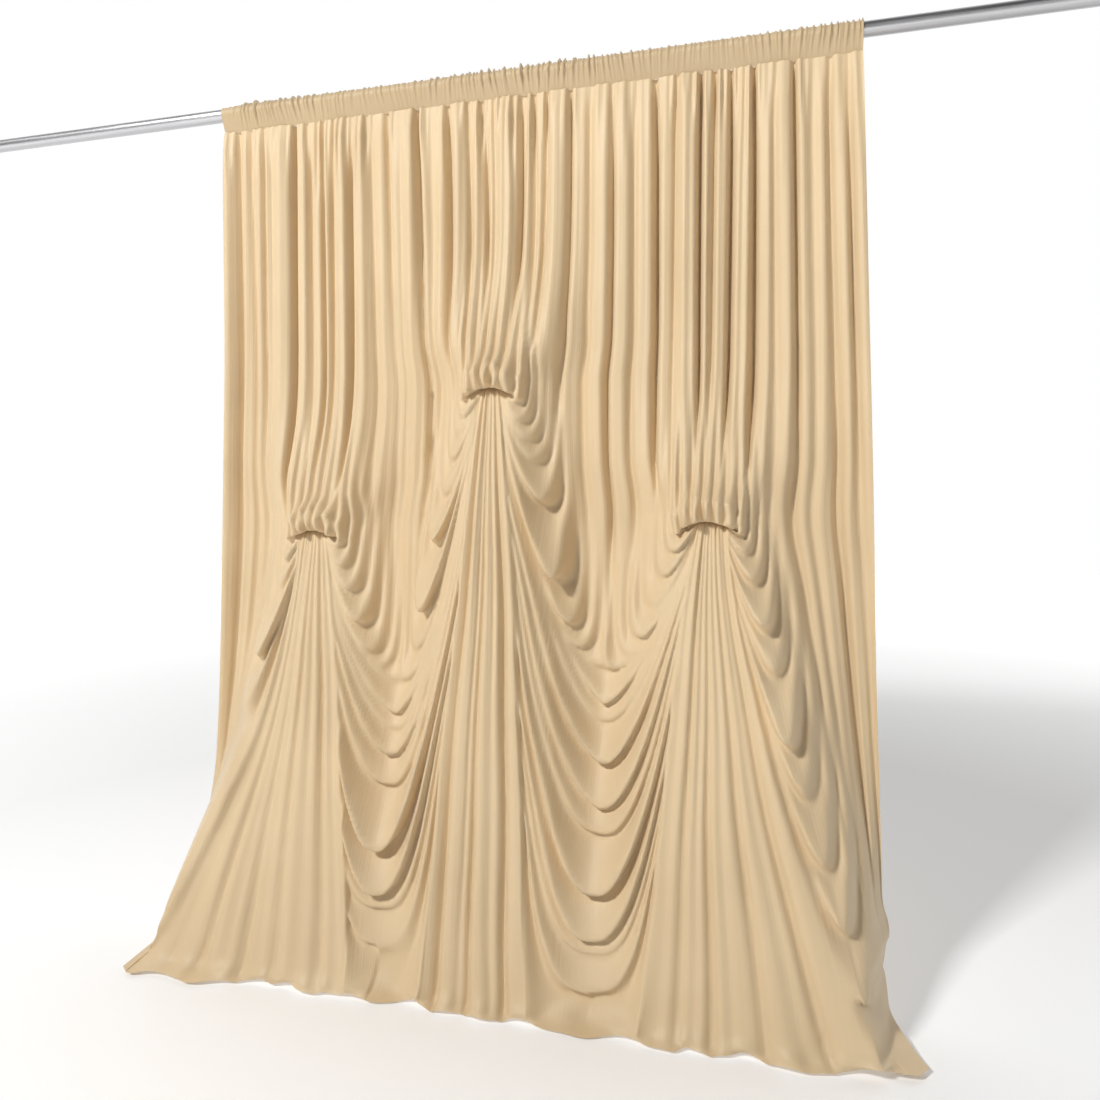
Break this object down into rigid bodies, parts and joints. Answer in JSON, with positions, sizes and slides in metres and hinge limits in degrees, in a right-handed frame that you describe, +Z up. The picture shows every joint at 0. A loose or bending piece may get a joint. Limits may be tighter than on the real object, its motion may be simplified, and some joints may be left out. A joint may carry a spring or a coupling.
{
  "type": "spandex backdrop curtain on a rod",
  "caption": "Tall stretch-knit backdrop curtain shirred on a plain round rod, gathered up in a centre and two side pick-ups with hanging swags and a hem that spreads on the floor.",
  "frame": {"origin": "middle of the rod's left end face, seen from the front; the floor is 2.44 m below it", "axes": "+X along the rod to its right end, -Y towards the viewer (the side that the folds stand out on), +Z up"},
  "size_m": [3.27, 0.4297, 2.4612],
  "materials": {
    "drape_panel": "smooth matt champagne stretch knit",
    "rod_pocket": "the same cloth, drawn together on the rod",
    "rod": "satin"
  },
  "bodies": {
    "root": {"drape_panel": "drape_panel", "rod_pocket": "rod_pocket", "rod": "rod"}
  },
  "joints": []
}
